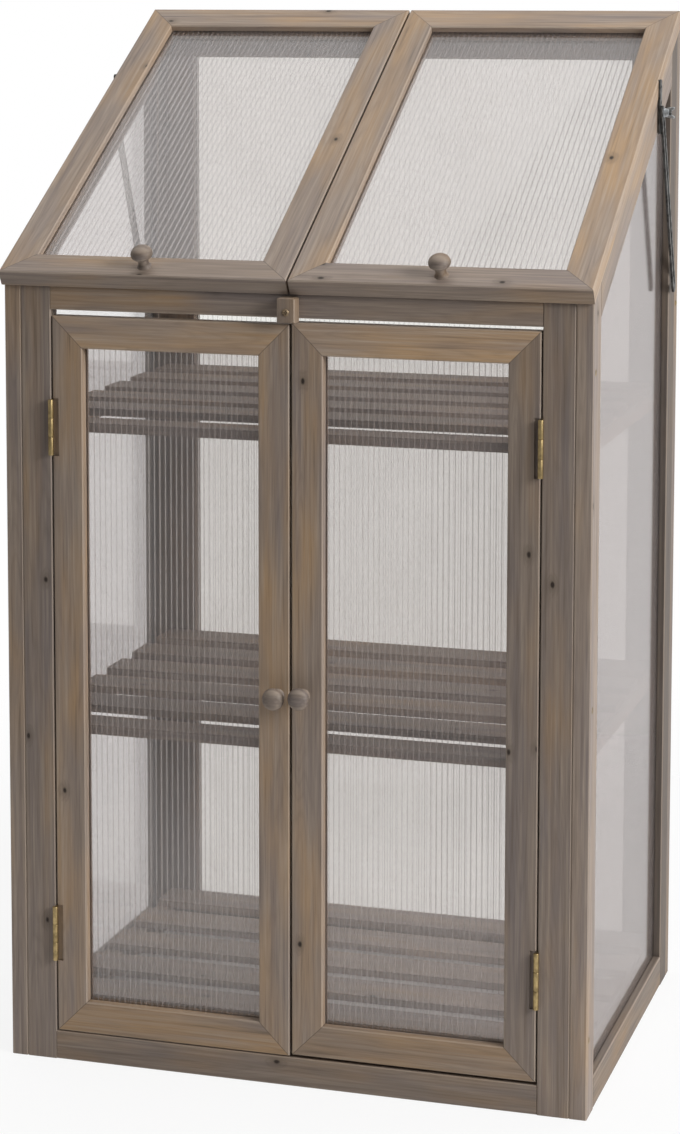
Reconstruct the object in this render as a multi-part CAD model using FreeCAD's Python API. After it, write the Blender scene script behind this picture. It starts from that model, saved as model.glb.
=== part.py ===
"""Wooden mini greenhouse: a glazed cabinet with two doors, two roof lids and three slatted shelves.

All sizes are in millimetres. X runs to the right as seen from the front, Y to the rear and Z up. While the
pieces are made, Y = 0 is the cabinet's front face and Z = 0 the ground. At the end every piece is moved so
that the origin is at the bottom centre of the whole object.
"""
import FreeCAD, Part

import math
import os

from FreeCAD import Placement, Rotation, Vector

# Cabinet
cabinet_width = 620.0
cabinet_depth = 456.0
front_height = 822.0  # of the slope that the lids lie on, at the front face
rear_height = 1086.0  # of the same slope, at the back face

# Planed timber
stock_width = 33.0
stock_thickness = 18.0
edge_ease = 1.2

# Flats that stand for a circle on small hardware
round_sides = 16

# Front frame
front_top_rail_height = 26.0
front_bottom_rail_height = 30.5

# Back frame
back_stile_width = 51.0
back_top_rail_height = 40.0

# Twin-wall sheets and the grooves that hold them
sheet_thickness = 4.0
skin_thickness = 0.5
rib_thickness = 0.5
rib_pitch = 6.0
groove_depth = 7.0
glazing_clearance = 0.15
side_sheet_recess = 8.0
back_sheet_recess = 7.0
door_sheet_recess = 10.0
lid_sheet_recess = 7.0

# Doors
door_side_gap = 1.5
door_meeting_gap = 2.5
door_top_gap = 4.5
door_bottom_gap = 3.0
left_door_drop = 2.0
door_knob_height = 411.0
door_knob_inset = 12.25

# Lids
lid_top_rail_width = 38.0
lid_front_overhang = 4.0
lid_side_overhang = 1.0
lid_meeting_gap = 2.0
lid_knob_inset = 16.5

# Butt hinges
hinge_length = 58.0
leaf_width = 16.0
leaf_thickness = 0.7
barrel_radius = 2.75
barrel_stand_off = 3.2
pin_radius = 1.2
pin_clearance = 0.06
knuckle_clearance = 0.35
lower_door_hinge_height = 139.0
upper_door_hinge_height = 676.0
hinge_recess_width = 6.5
hinge_recess_depth = 2.6
hinge_recess_margin = 1.0
lid_hinge_inset = 62.0

# Turned knobs
knob_height = 24.0
knob_head_radius = 11.5
knob_neck_radius = 5.4
knob_base_radius = 7.5
knob_neck_height = 4.0
knob_flare_radius = 6.4
knob_flare_height = 11.0
knob_rim_height = 15.5
knob_sides = 20

# Turn button and its screw
button_width = 19.0
button_thickness = 15.0
button_stand_off = 0.5
button_pivot_rise = 7.0
button_door_clearance = 0.9
button_catch = 3.4
button_swing_clearance = 0.3
screw_radius = 2.0
screw_clearance = 0.06
screw_bite = 14.0
screw_head_radius = 3.8
screw_head_height = 2.2

# Lid stays
bracket_width = 12.0
bracket_thickness = 2.0
bracket_tail = 23.0
bracket_top_margin = 2.5
bracket_corner = 3.0
bolt_rear_offset = 131.0
bolt_drop = 17.2
bolt_radius = 2.5
bolt_tip = 2.5
stay_width = 15.0
stay_thickness = 2.5
stay_length = 218.0
stay_lean = 22.7
slot_end_margin = 12.0
stay_play = 0.3
stay_fit = 0.06
nut_base_radius = 5.2
nut_top_radius = 3.9
nut_height = 6.0
wing_thickness = 2.0
wing_width = 4.4
wing_reach = 7.0
wing_height = 12.0
wing_corner = 1.4

# Shelves
slat_width = 48.0
slat_thickness = 8.0
slat_count = 5
slat_end_gap = 2.0
first_slat_setback = 68.0
last_slat_gap = 4.0
shelf_rail_depth = 38.0
shelf_rail_thickness = 10.0
shelf_rail_gap = 1.0
cleat_size = 18.0
shelf_tops = {"bottom": 48.0, "middle": 366.0, "top": 685.0}

# Values that follow from the sizes above
half_width = cabinet_width / 2.0
side_depth = cabinet_depth - stock_thickness
side_inner = half_width - stock_thickness
front_inner = side_inner - stock_width
slope_rise = (rear_height - front_height) / cabinet_depth
slope_angle = math.atan(slope_rise)
slope_cos = math.cos(slope_angle)
slope_sin = math.sin(slope_angle)
tongue_length = groove_depth - glazing_clearance

front_rail_bottom = front_height - front_top_rail_height
door_top = front_rail_bottom - door_top_gap
door_bottom = front_bottom_rail_height + door_bottom_gap
door_height = door_top - door_bottom
door_outer = front_inner - door_side_gap
door_width = door_outer - door_meeting_gap / 2.0
door_pin_x = front_inner - door_side_gap / 2.0
door_pin_y = -barrel_stand_off

lid_outer = half_width + lid_side_overhang
lid_width = lid_outer - lid_meeting_gap / 2.0
lid_length = (cabinet_depth + lid_front_overhang) / slope_cos
lid_pin_y = cabinet_depth + barrel_stand_off
lid_pin_z = rear_height + barrel_stand_off * math.tan(slope_angle / 2.0)

button_pivot_z = front_rail_bottom + button_pivot_rise
bolt_setback = cabinet_depth - bolt_rear_offset
bolt_z = front_height + slope_rise * bolt_setback - bolt_drop
stay_face = lid_outer + bracket_thickness + stay_play
nut_face = stay_face + stay_thickness + stay_play

# Directions
AXIS_X = Vector(1, 0, 0)
AXIS_Y = Vector(0, 1, 0)
AXIS_Z = Vector(0, 0, 1)
UP_SLOPE = Vector(0, slope_cos, slope_sin)


# Placing

def facing(origin, across, up):
    """The place of a flat frame: u runs across it, v runs up it and w stands out of its outer face."""
    return Placement(origin, Rotation(across, up, across.cross(up), "XYZ"))


def placed(shape, placement):
    """A copy of a shape, carried from its own axes to its place."""
    copy = shape.copy()
    copy.Placement = placement.multiply(copy.Placement)
    return copy


def mirrored(shape):
    """The left-hand copy of a right-hand shape."""
    return shape.mirror(Vector(0, 0, 0), AXIS_X)


def both_sides(shapes):
    """Right-hand shapes together with their left-hand copies, as separate solids of one node."""
    return Part.makeCompound(shapes + [mirrored(shape) for shape in shapes])


# Outlines in a frame's own u and v

def slope_height(y):
    """Height of the slope that the lids lie on."""
    return front_height + slope_rise * y


def rectangle(left, right, bottom, top):
    return [(left, bottom), (right, bottom), (right, top), (left, top)]


def clipped(left, right, bottom, top, corner):
    """A rectangle with its corners taken off."""
    return [
        (left + corner, bottom), (right - corner, bottom), (right, bottom + corner), (right, top - corner),
        (right - corner, top), (left + corner, top), (left, top - corner), (left, bottom + corner),
    ]


def polygon(radius, sides=round_sides):
    """A regular polygon round the origin, with its corners at a radius."""
    turns = [2.0 * math.pi * (number + 0.5) / sides for number in range(sides)]
    return [(radius * math.cos(turn), radius * math.sin(turn)) for turn in turns]


def polygon_clear_of(radius, clearance):
    """A regular polygon whose flats keep clear of a rod that turns in it."""
    return polygon((radius + clearance) / math.cos(math.pi / round_sides))


def round_ended(foot, outline):
    """An upright outline whose ends are halves of a polygon about (0, 0) and (0, foot)."""
    upper = [(u, v) for u, v in outline if v > 0.0]
    return upper + [(-u, foot - v) for u, v in upper]


def under_slope(front, rear, bottom, inset):
    """An upright outline whose top follows the slope, a distance square below it."""
    drop = inset / slope_cos
    return [
        (front, bottom),
        (rear, bottom),
        (rear, slope_height(rear) - drop),
        (front, slope_height(front) - drop),
    ]


def along_slope(front, rear, low_inset, high_inset):
    """A band that follows the slope between two distances square below it."""
    low = low_inset / slope_cos
    high = high_inset / slope_cos
    return [
        (front, slope_height(front) - low),
        (rear, slope_height(rear) - low),
        (rear, slope_height(rear) - high),
        (front, slope_height(front) - high),
    ]


# Solids in a frame's own u, v and w

def slab(outline, low, high):
    """An outline given thickness between two heights over the outer face."""
    ring = [Vector(u, v, low) for u, v in outline]
    face = Part.Face(Part.makePolygon(ring + ring[:1]))
    return face.extrude(Vector(0, 0, high - low))


def block(left, right, bottom, top, low, high):
    return slab(rectangle(left, right, bottom, top), low, high)


def turned(profile, sides=round_sides):
    """A turned solid on the w axis, cut with flats: its (radius, height) rings joined by plane faces."""
    rings = [[Vector(u, v, height) for u, v in polygon(radius, sides)] for radius, height in profile]
    outlines = [rings[0], rings[-1]]
    for low, high in zip(rings, rings[1:]):
        for here in range(sides):
            after = (here + 1) % sides
            outlines.append([low[here], low[after], high[after], high[here]])
    faces = [Part.Face(Part.makePolygon(outline + outline[:1])) for outline in outlines]
    solid = Part.Solid(Part.Shell(faces))
    solid.fix(0.001, 0.001, 0.001)
    return solid


def eased(bar, along):
    """A bar with its long edges taken off."""
    long_edges = [edge for edge in bar.Edges if edge.tangentAt(edge.FirstParameter).cross(along).Length < 0.01]
    return bar.makeChamfer(edge_ease, long_edges)


def timber(outline, along):
    """A piece of planed timber behind the outer face of its frame."""
    return eased(slab(outline, -stock_thickness, 0.0), along)


def tongued_rail(outline, tongue_outline, along, recess):
    """A rail with a thin tongue at each end that enters the grooves of the stiles."""
    tongue = slab(tongue_outline, -recess - sheet_thickness, -recess)
    return timber(outline, along).fuse(tongue).removeSplitter()


def groove(outline, recess):
    """The room that a groove takes, with clearance on both faces of the sheet."""
    return slab(outline, -recess - sheet_thickness - glazing_clearance, -recess + glazing_clearance)


def twin_wall_sheet(left, right, bottom, top, recess):
    """A clear sheet of two skins joined by ribs, with open channels that run up it."""
    back = -recess - sheet_thickness
    channel_count = int((right - left - rib_thickness) // rib_pitch)
    first_rib = (left + right - channel_count * rib_pitch) / 2.0
    sections = [(left, right, back, -recess)]
    for number in range(channel_count):
        channel_left = first_rib + number * rib_pitch + rib_thickness / 2.0
        channel_right = channel_left + rib_pitch - rib_thickness
        sections.append((channel_left, channel_right, back + skin_thickness, -recess - skin_thickness))
    wires = []
    for low_u, high_u, low_w, high_w in sections:
        ring = [Vector(u, bottom, w) for u, w in rectangle(low_u, high_u, low_w, high_w)]
        wires.append(Part.makePolygon(ring + ring[:1]))
    section = Part.makeFace(wires, "Part::FaceMakerBullseye")
    return section.extrude(Vector(0, top - bottom, 0))


# Places of the flat frames

front_place = facing(Vector(0, 0, 0), AXIS_X, AXIS_Z)
back_place = facing(Vector(0, cabinet_depth, 0), AXIS_X.negative(), AXIS_Z)
side_place = facing(Vector(half_width, 0, 0), AXIS_Y, AXIS_Z)
door_place = facing(Vector(door_meeting_gap / 2.0, 0, door_bottom), AXIS_X, AXIS_Z)
lid_front_edge = Vector(lid_meeting_gap / 2.0, -lid_front_overhang, slope_height(-lid_front_overhang))
lid_place = facing(lid_front_edge + AXIS_X.cross(UP_SLOPE) * stock_thickness, AXIS_X, UP_SLOPE)
stay_place = facing(Vector(0, bolt_setback, bolt_z), AXIS_Y, AXIS_Z)


# Cabinet

def side_frame():
    """The right-hand side: two stiles cut to the slope, two tongued rails and a sheet."""
    front = stock_width
    rear = side_depth - stock_width
    slope_direction = Vector(slope_cos, slope_sin, 0)
    stile_groove = groove(under_slope(front - groove_depth, rear + groove_depth, 0.0, 0.0), side_sheet_recess)
    rail_inset = stock_width - groove_depth
    rail_groove = groove(under_slope(0.0, side_depth, rail_inset, rail_inset), side_sheet_recess)
    bottom_rail = tongued_rail(
        rectangle(front, rear, 0.0, stock_width),
        rectangle(front - tongue_length, rear + tongue_length, 0.0, stock_width),
        AXIS_X,
        side_sheet_recess,
    )
    top_rail = tongued_rail(
        along_slope(front, rear, stock_width, 0.0),
        along_slope(front - tongue_length, rear + tongue_length, stock_width, 0.0),
        slope_direction,
        side_sheet_recess,
    )
    sheet_front = front - tongue_length
    sheet_rear = rear + tongue_length
    sheet_inset = stock_width - tongue_length
    sheet = twin_wall_sheet(sheet_front, sheet_rear, sheet_inset, slope_height(sheet_rear), side_sheet_recess)
    sheet_outline = under_slope(sheet_front, sheet_rear, sheet_inset, sheet_inset)
    frame = {
        "front_stile": timber(under_slope(0.0, front, 0.0, 0.0), AXIS_Y).cut(stile_groove),
        "rear_stile": timber(under_slope(rear, side_depth, 0.0, 0.0), AXIS_Y).cut(stile_groove),
        "bottom_rail": bottom_rail.cut(rail_groove),
        "top_rail": top_rail.cut(rail_groove),
        "panel": sheet.common(slab(sheet_outline, -stock_thickness, 0.0)),
    }
    return {name: placed(shape, side_place) for name, shape in frame.items()}


def over_slope():
    """Everything above the slope that the lids lie on, to trim the tops of the front and back frames."""
    margin = stock_thickness
    rear = cabinet_depth + margin
    outline = [
        (-margin, slope_height(-margin)),
        (rear, slope_height(rear)),
        (rear, slope_height(rear) + cabinet_depth),
        (-margin, slope_height(rear) + cabinet_depth),
    ]
    return placed(slab(outline, -cabinet_width - margin, margin), side_place)


def screw_hole():
    """The bore of the turn button's screw, in the place of the front frame."""
    bore = slab(polygon_clear_of(screw_radius, screw_clearance), -screw_bite, cabinet_depth)
    bore.translate(Vector(0, button_pivot_z, 0))
    return placed(bore, front_place)


def front_frame():
    """Stiles glued to the side frames, with a top rail trimmed to the slope and a bottom rail."""
    top = slope_height(stock_thickness)
    top_rail = timber(rectangle(-front_inner, front_inner, front_rail_bottom, top), AXIS_X)
    bottom_rail = timber(rectangle(-front_inner, front_inner, 0.0, front_bottom_rail_height), AXIS_X)
    stile = timber(rectangle(front_inner, side_inner, 0.0, top), AXIS_Y)
    trimming = over_slope()
    stile = placed(stile, front_place).cut(trimming)
    top_rail = placed(top_rail, front_place).cut(trimming)
    return {
        "front_stiles": both_sides([stile]),
        "front_top_rail": top_rail.cut(screw_hole()),
        "front_bottom_rail": placed(bottom_rail, front_place),
    }


def back_frame():
    """Wide stiles that cover the side frames' ends, two tongued rails and a sheet."""
    inner = half_width - back_stile_width
    rail_bottom = rear_height - back_top_rail_height
    stile_groove = groove(
        rectangle(-inner - groove_depth, inner + groove_depth, 0.0, rear_height), back_sheet_recess
    )
    rail_groove = groove(
        rectangle(-half_width, half_width, stock_width - groove_depth, rail_bottom + groove_depth),
        back_sheet_recess,
    )
    rails = {}
    for name, low, high in (("bottom", 0.0, stock_width), ("top", rail_bottom, rear_height)):
        rail = tongued_rail(
            rectangle(-inner, inner, low, high),
            rectangle(-inner - tongue_length, inner + tongue_length, low, high),
            AXIS_X,
            back_sheet_recess,
        )
        rails[name] = placed(rail.cut(rail_groove), back_place)
    stile = timber(rectangle(inner, half_width, 0.0, rear_height), AXIS_Y).cut(stile_groove)
    trimming = over_slope()
    sheet = twin_wall_sheet(
        -inner - tongue_length,
        inner + tongue_length,
        stock_width - tongue_length,
        rail_bottom + tongue_length,
        back_sheet_recess,
    )
    return {
        "back_stiles": both_sides([placed(stile, back_place).cut(trimming)]),
        "back_top_rail": rails["top"].cut(trimming),
        "back_bottom_rail": rails["bottom"],
        "back_panel": placed(sheet, back_place),
    }


# Shelves

def slats(shelf_top):
    """Slats that run from side to side, spread evenly behind the front rail."""
    end = side_inner - slat_end_gap
    last = side_depth - last_slat_gap - slat_width
    pitch = (last - first_slat_setback) / (slat_count - 1)
    boards = []
    for number in range(slat_count):
        front = first_slat_setback + number * pitch
        boards.append(block(-end, end, front, front + slat_width, shelf_top - slat_thickness, shelf_top))
    return Part.makeCompound(boards)


def shelf_rail(shelf_top):
    """The flat rail between the cleats, just behind the doors."""
    top = shelf_top - slat_thickness
    end = side_inner - cleat_size
    front = stock_thickness + shelf_rail_gap
    return block(-end, end, front, front + shelf_rail_depth, top - shelf_rail_thickness, top)


def cleats(shelf_top):
    """The square battens on the side frames that carry the slats."""
    top = shelf_top - slat_thickness
    cleat = block(side_inner - cleat_size, side_inner, stock_thickness, side_depth, top - cleat_size, top)
    return both_sides([cleat])


# Hinges

def hinge_leaf(seat, knuckles, other_knuckles):
    """A leaf whose pin lies on the w axis: a plate at a distance from the pin, and its rolled knuckles."""
    half = hinge_length / 2.0
    leaf = block(seat - leaf_thickness, seat, 0.0, leaf_width, -half, half)
    gap = knuckle_clearance
    reach = barrel_radius + gap
    for low, high in other_knuckles:
        leaf = leaf.cut(block(-reach, seat + reach, -reach, reach, low - gap, high + gap))
    for low, high in knuckles:
        leaf = leaf.fuse(slab(polygon(barrel_radius), low, high))
    return leaf


def hinge(seat, frame_place, moving_place):
    """A three-knuckle butt hinge, as its frame leaf with the pin and its moving leaf."""
    half = hinge_length / 2.0
    middle = hinge_length / 6.0
    outer_knuckles = [(-half, -middle - knuckle_clearance), (middle + knuckle_clearance, half)]
    inner_knuckle = [(-middle, middle)]
    pin = slab(polygon(pin_radius), -half, half)
    bore = slab(polygon_clear_of(pin_radius, pin_clearance), -half, half)
    frame_leaf = hinge_leaf(seat, outer_knuckles, inner_knuckle).fuse(pin).removeSplitter()
    moving_leaf = hinge_leaf(seat, inner_knuckle, outer_knuckles).cut(bore)
    return placed(frame_leaf, frame_place), placed(moving_leaf, moving_place)


def door_hinge(height):
    """A hinge of the right door: its leaves fill the gap between the stile and the door."""
    pin = Vector(door_pin_x, door_pin_y, height)
    return hinge(door_side_gap / 2.0, facing(pin, AXIS_X, AXIS_Y), facing(pin, AXIS_X.negative(), AXIS_Y))


def lid_hinge(x):
    """A hinge of the right lid: one leaf on the back frame, one on the lid's rear end."""
    pin = Vector(x, lid_pin_y, lid_pin_z)
    on_frame = facing(pin, AXIS_Y.negative(), AXIS_Z.negative())
    on_lid = facing(pin, UP_SLOPE.negative(), AXIS_X.cross(UP_SLOPE))
    return hinge(barrel_stand_off, on_frame, on_lid)


# Knobs

def dome(rim_radius, rim_height, crown_height, steps):
    """(radius, height) rings of a quarter-round dome from its rim to a small flat crown."""
    turns = [0.5 * math.pi * step / (steps + 0.5) for step in range(steps + 1)]
    rise = crown_height - rim_height
    return [(rim_radius * math.cos(turn), rim_height + rise * math.sin(turn)) for turn in turns]


def knob():
    """A turned mushroom knob that stands on w = 0."""
    shaft = [
        (knob_base_radius, 0.0),
        (knob_neck_radius, knob_neck_height),
        (knob_flare_radius, knob_flare_height),
    ]
    return turned(shaft + dome(knob_head_radius, knob_rim_height, knob_height, 3), knob_sides)


# Doors and lids

def mitred_frame(width, height, top_rail_width, recess):
    """Four members mitred from corner to corner round a sheet; u and v start at the lower left corner."""
    right = width - stock_width
    top = height - top_rail_width
    groove_start = stock_width - groove_depth
    groove_outline = rectangle(groove_start, right + groove_depth, groove_start, top + groove_depth)
    sheet_groove = groove(groove_outline, recess)
    members = {
        "left": ([(0, 0), (stock_width, stock_width), (stock_width, top), (0, height)], AXIS_Y),
        "right": ([(width, 0), (width, height), (right, top), (right, stock_width)], AXIS_Y),
        "bottom": ([(0, 0), (width, 0), (right, stock_width), (stock_width, stock_width)], AXIS_X),
        "top": ([(0, height), (stock_width, top), (right, top), (width, height)], AXIS_X),
    }
    frame = {name: timber(outline, along).cut(sheet_groove) for name, (outline, along) in members.items()}
    sheet_start = stock_width - tongue_length
    frame["panel"] = twin_wall_sheet(
        sheet_start, right + tongue_length, sheet_start, top + tongue_length, recess
    )
    return frame


def hinge_recess(height):
    """The shallow recess in the face of the door's hinge stile, beside a hinge's knuckles."""
    half = hinge_length / 2.0 + hinge_recess_margin
    low = height - door_bottom - half
    recess = block(
        door_width - hinge_recess_width, door_width, low, low + 2.0 * half, -hinge_recess_depth, 0.0
    )
    return placed(recess, door_place)


def right_door():
    """The right door's pieces and the frame leaves of its hinges."""
    hinge_heights = [lower_door_hinge_height, upper_door_hinge_height]
    frame = mitred_frame(door_width, door_height, stock_width, door_sheet_recess)
    hinge_stile = placed(frame["right"], door_place)
    door = {
        "meeting_stile": placed(frame["left"], door_place),
        "hinge_stile": hinge_stile.cut([hinge_recess(height) for height in hinge_heights]),
        "bottom_rail": placed(frame["bottom"], door_place),
        "top_rail": placed(frame["top"], door_place),
        "panel": placed(frame["panel"], door_place),
    }
    knob_foot = Vector(door_meeting_gap / 2.0 + door_knob_inset, 0, door_knob_height)
    door["knob"] = placed(knob(), facing(knob_foot, AXIS_X, AXIS_Z))
    hinges = [door_hinge(height) for height in hinge_heights]
    door["hinge_leaves"] = Part.makeCompound([moving_leaf for frame_leaf, moving_leaf in hinges])
    return door, [frame_leaf for frame_leaf, moving_leaf in hinges]


def right_lid():
    """The right lid's pieces and the frame leaves of its hinges."""
    frame = mitred_frame(lid_width, lid_length, lid_top_rail_width, lid_sheet_recess)
    frame["knob"] = knob()
    frame["knob"].translate(Vector(lid_width / 2.0, lid_knob_inset, 0))
    hinge_places = [lid_meeting_gap / 2.0 + lid_hinge_inset, lid_outer - lid_hinge_inset]
    lid = {
        "inner_side": placed(frame["left"], lid_place),
        "outer_side": placed(frame["right"], lid_place),
        "bottom_rail": placed(frame["bottom"], lid_place),
        "top_rail": placed(frame["top"], lid_place),
        "panel": placed(frame["panel"], lid_place),
        "knob": placed(frame["knob"], lid_place),
        "stay_bracket": stay_bracket(),
    }
    hinges = [lid_hinge(x) for x in hinge_places]
    lid["hinge_leaves"] = Part.makeCompound([moving_leaf for frame_leaf, moving_leaf in hinges])
    return lid, [frame_leaf for frame_leaf, moving_leaf in hinges]


# Lid stays, on the right side; u and v start at the bolt, and w is X

def stay_bracket():
    """A steel plate on the lid's edge, with the bolt that carries the bar and the nut."""
    lid_top = bolt_drop + stock_thickness / slope_cos
    half = bracket_width / 2.0
    low = lid_outer
    outline = clipped(-half, half, -bracket_tail, lid_top - bracket_top_margin, bracket_corner)
    plate = slab(outline, low, low + bracket_thickness)
    bolt_end = nut_face + nut_height + bolt_tip
    bolt = slab(polygon(bolt_radius), low, bolt_end)
    return placed(plate.fuse(bolt).removeSplitter(), stay_place)


def stay_bar():
    """A slotted flat bar that hangs from the bolt at the top end of its slot."""
    half = stay_width / 2.0
    bar_outline = round_ended(half - stay_length, polygon(half))
    slot_outline = round_ended(slot_end_margin - stay_length, polygon_clear_of(bolt_radius, stay_fit))
    bar = slab(bar_outline, stay_face, stay_face + stay_thickness)
    bar = bar.cut(slab(slot_outline, stay_face - stay_play, stay_face + stay_thickness + stay_play))
    bar.rotate(Vector(0, 0, 0), AXIS_Z, stay_lean)
    return placed(bar, stay_place)


def wing_nut():
    """A nut with two upright wings, on the bolt outside the bar."""
    hub = turned([(nut_base_radius, 0.0), (nut_top_radius, nut_height)])
    half = wing_thickness / 2.0
    wing = slab(clipped(wing_reach - wing_width, wing_reach, 0.0, wing_height, wing_corner), -half, half)
    wing = wing.fuse(block(0.0, wing_reach - wing_width / 2.0, 0.0, nut_height, -half, half))
    upper_wing = placed(wing, facing(Vector(0, 0, 0), AXIS_Y, AXIS_Z))
    lower_wing = placed(wing, facing(Vector(0, 0, 0), AXIS_Y.negative(), AXIS_Z))
    nut = hub.fuse([upper_wing, lower_wing]).removeSplitter()
    nut = nut.cut(slab(polygon_clear_of(bolt_radius, stay_fit), 0.0, nut_height))
    nut.translate(Vector(0, 0, nut_face))
    return placed(nut, stay_place)


# Turn button

def turn_button():
    """A block that is turned over the doors' top rails; its long end is rounded to swing under the lids."""
    short_end = button_pivot_z - door_top - button_door_clearance
    long_end = button_pivot_z - door_top + button_catch
    swing = slope_height(-lid_front_overhang) - button_pivot_z - button_swing_clearance
    half = button_width / 2.0
    body = block(-half, half, -short_end, long_end, 0.0, button_thickness)
    front_edges = [edge for edge in body.Edges if edge.CenterOfMass.z > button_thickness - edge_ease / 2.0]
    body = body.makeChamfer(edge_ease, front_edges)
    body = body.common(slab(polygon(swing, 4 * round_sides), 0.0, button_thickness))
    body.translate(Vector(0, button_pivot_z, button_stand_off))
    return placed(body, front_place).cut(screw_hole())


def turn_button_screw():
    """A dome-headed screw through the button into the front top rail."""
    seat = button_stand_off + button_thickness
    screw = slab(polygon(screw_radius), -screw_bite - seat, 0.0)
    screw = screw.fuse(turned(dome(screw_head_radius, 0.0, screw_head_height, 2))).removeSplitter()
    screw.translate(Vector(0, button_pivot_z, seat))
    return placed(screw, front_place)


# Assembly

def greenhouse():
    """Every node of the greenhouse by name."""
    nodes = {}
    for name, shape in side_frame().items():
        if name == "bottom_rail":
            nodes["side_bottom_rails"] = both_sides([shape])
        else:
            nodes["right_side_" + name] = shape
            nodes["left_side_" + name] = mirrored(shape)
    nodes.update(front_frame())
    nodes.update(back_frame())
    for level, shelf_top in shelf_tops.items():
        nodes[level + "_shelf_slats"] = slats(shelf_top)
    tops = shelf_tops.values()
    nodes["shelf_front_rails"] = Part.makeCompound([shelf_rail(shelf_top) for shelf_top in tops])
    nodes["shelf_cleats"] = Part.makeCompound([cleats(shelf_top) for shelf_top in tops])

    door, door_frame_leaves = right_door()
    for name, shape in door.items():
        nodes["right_door_" + name] = shape
        left_shape = mirrored(shape)
        left_shape.translate(Vector(0, 0, -left_door_drop))
        nodes["left_door_" + name] = left_shape
    left_leaves = [mirrored(leaf) for leaf in door_frame_leaves]
    for leaf in left_leaves:
        leaf.translate(Vector(0, 0, -left_door_drop))
    nodes["door_hinge_frame_leaves"] = Part.makeCompound(door_frame_leaves + left_leaves)

    lid, lid_frame_leaves = right_lid()
    for name, shape in lid.items():
        nodes["right_lid_" + name] = shape
        nodes["left_lid_" + name] = mirrored(shape)
    nodes["lid_hinge_frame_leaves"] = both_sides(lid_frame_leaves)

    for name, shape in (("stay_bar", stay_bar()), ("wing_nut", wing_nut())):
        nodes["right_" + name] = shape
        nodes["left_" + name] = mirrored(shape)
    nodes["turn_button"] = turn_button()
    nodes["turn_button_screw"] = turn_button_screw()
    return nodes


pieces = greenhouse()
box = Part.makeCompound(list(pieces.values())).optimalBoundingBox(False, False)
origin = Vector((box.XMin + box.XMax) / 2.0, (box.YMin + box.YMax) / 2.0, box.ZMin)

os.makedirs("parts", exist_ok=True)
for node, piece in pieces.items():
    piece.translate(origin.negative())
    piece.exportStep("parts/" + node + ".step")
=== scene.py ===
"""Wooden mini greenhouse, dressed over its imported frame.

Stained fir frames hold clear twin-wall sheet. Two doors and two roof lids hang on brass-plated butt hinges, and
a slotted steel bar with a wing nut is there to hold each lid open. Sizes are in millimetres in the classes, in
the axes of the part's own drawing: X to the right, Y to the rear from the front face, Z up from the ground.
"""
import logging
import math
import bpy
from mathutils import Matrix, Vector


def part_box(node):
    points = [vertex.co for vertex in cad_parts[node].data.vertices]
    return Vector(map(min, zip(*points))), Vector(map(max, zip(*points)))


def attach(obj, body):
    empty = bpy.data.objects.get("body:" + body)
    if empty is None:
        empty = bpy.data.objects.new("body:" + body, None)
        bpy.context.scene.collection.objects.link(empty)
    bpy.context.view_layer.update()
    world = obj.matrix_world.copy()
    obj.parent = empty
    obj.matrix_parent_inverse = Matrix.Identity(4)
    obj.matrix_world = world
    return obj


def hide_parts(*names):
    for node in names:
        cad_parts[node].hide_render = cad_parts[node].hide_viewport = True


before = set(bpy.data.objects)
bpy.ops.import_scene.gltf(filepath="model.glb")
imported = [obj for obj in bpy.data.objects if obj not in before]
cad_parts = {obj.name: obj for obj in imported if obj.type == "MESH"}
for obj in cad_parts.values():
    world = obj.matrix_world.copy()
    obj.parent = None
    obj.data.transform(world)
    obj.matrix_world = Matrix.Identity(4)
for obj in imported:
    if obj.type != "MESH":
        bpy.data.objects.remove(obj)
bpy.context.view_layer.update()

import zlib
from dataclasses import dataclass
from enum import Enum
from functools import partial
from typing import Any, Callable, Iterable, Sequence

import bmesh
import bpy
import numpy as np
from mathutils import Euler, Matrix, Vector

MM = 0.001
CREASE = math.radians(35.0)
LOG = logging.getLogger("greenhouse")


# Colour and nodes


def linear(code: str) -> tuple[float, float, float, float]:
    """Turns an sRGB hex value to linear colour.

    Args:
        code: the colour as "#RRGGBB".

    Returns:
        Linear red, green, blue and an alpha of 1.
    """
    parts = [int(code[start : start + 2], 16) / 255.0 for start in (1, 3, 5)]
    red, green, blue = (part / 12.92 if part <= 0.04045 else ((part + 0.055) / 1.055) ** 2.4 for part in parts)
    return (red, green, blue, 1.0)


def usable(sockets: Iterable[bpy.types.NodeSocket], key: int | str) -> bpy.types.NodeSocket:
    """Finds a socket that the node's present settings use.

    Args:
        sockets: the node's inputs or outputs.
        key: its name, or its number among those in use.

    Returns:
        The socket.
    """
    shown = [socket for socket in sockets if socket.enabled]
    return shown[key] if isinstance(key, int) else next(socket for socket in shown if socket.name == key)


def add_node(
    tree: bpy.types.NodeTree,
    kind: str,
    inputs: dict[int | str, Any] | None = None,
    stops: Sequence[tuple[float, str]] = (),
    **settings: Any,
) -> bpy.types.Node:
    """Adds one node with its settings and links.

    Args:
        tree: the tree that gets the node.
        kind: the node's type without "ShaderNode".
        inputs: for each input, a node, an output socket or a constant.
        stops: a colour ramp's positions and hex colours.
        settings: the node's own properties.

    Returns:
        The node.
    """
    node = tree.nodes.new("ShaderNode" + kind)
    for name, value in settings.items():
        setattr(node, name, value)
    if stops:
        elements = node.color_ramp.elements
        while len(elements) < len(stops):
            elements.new(0.5)
        for element, (position, code) in zip(elements, stops):
            element.position = position
            element.color = linear(code)
    for key, value in (inputs or {}).items():
        socket = usable(node.inputs, key)
        source = usable(value.outputs, 0) if isinstance(value, bpy.types.Node) else value
        if isinstance(source, bpy.types.NodeSocket):
            tree.links.new(source, socket)
        else:
            socket.default_value = source
    return node


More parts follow.
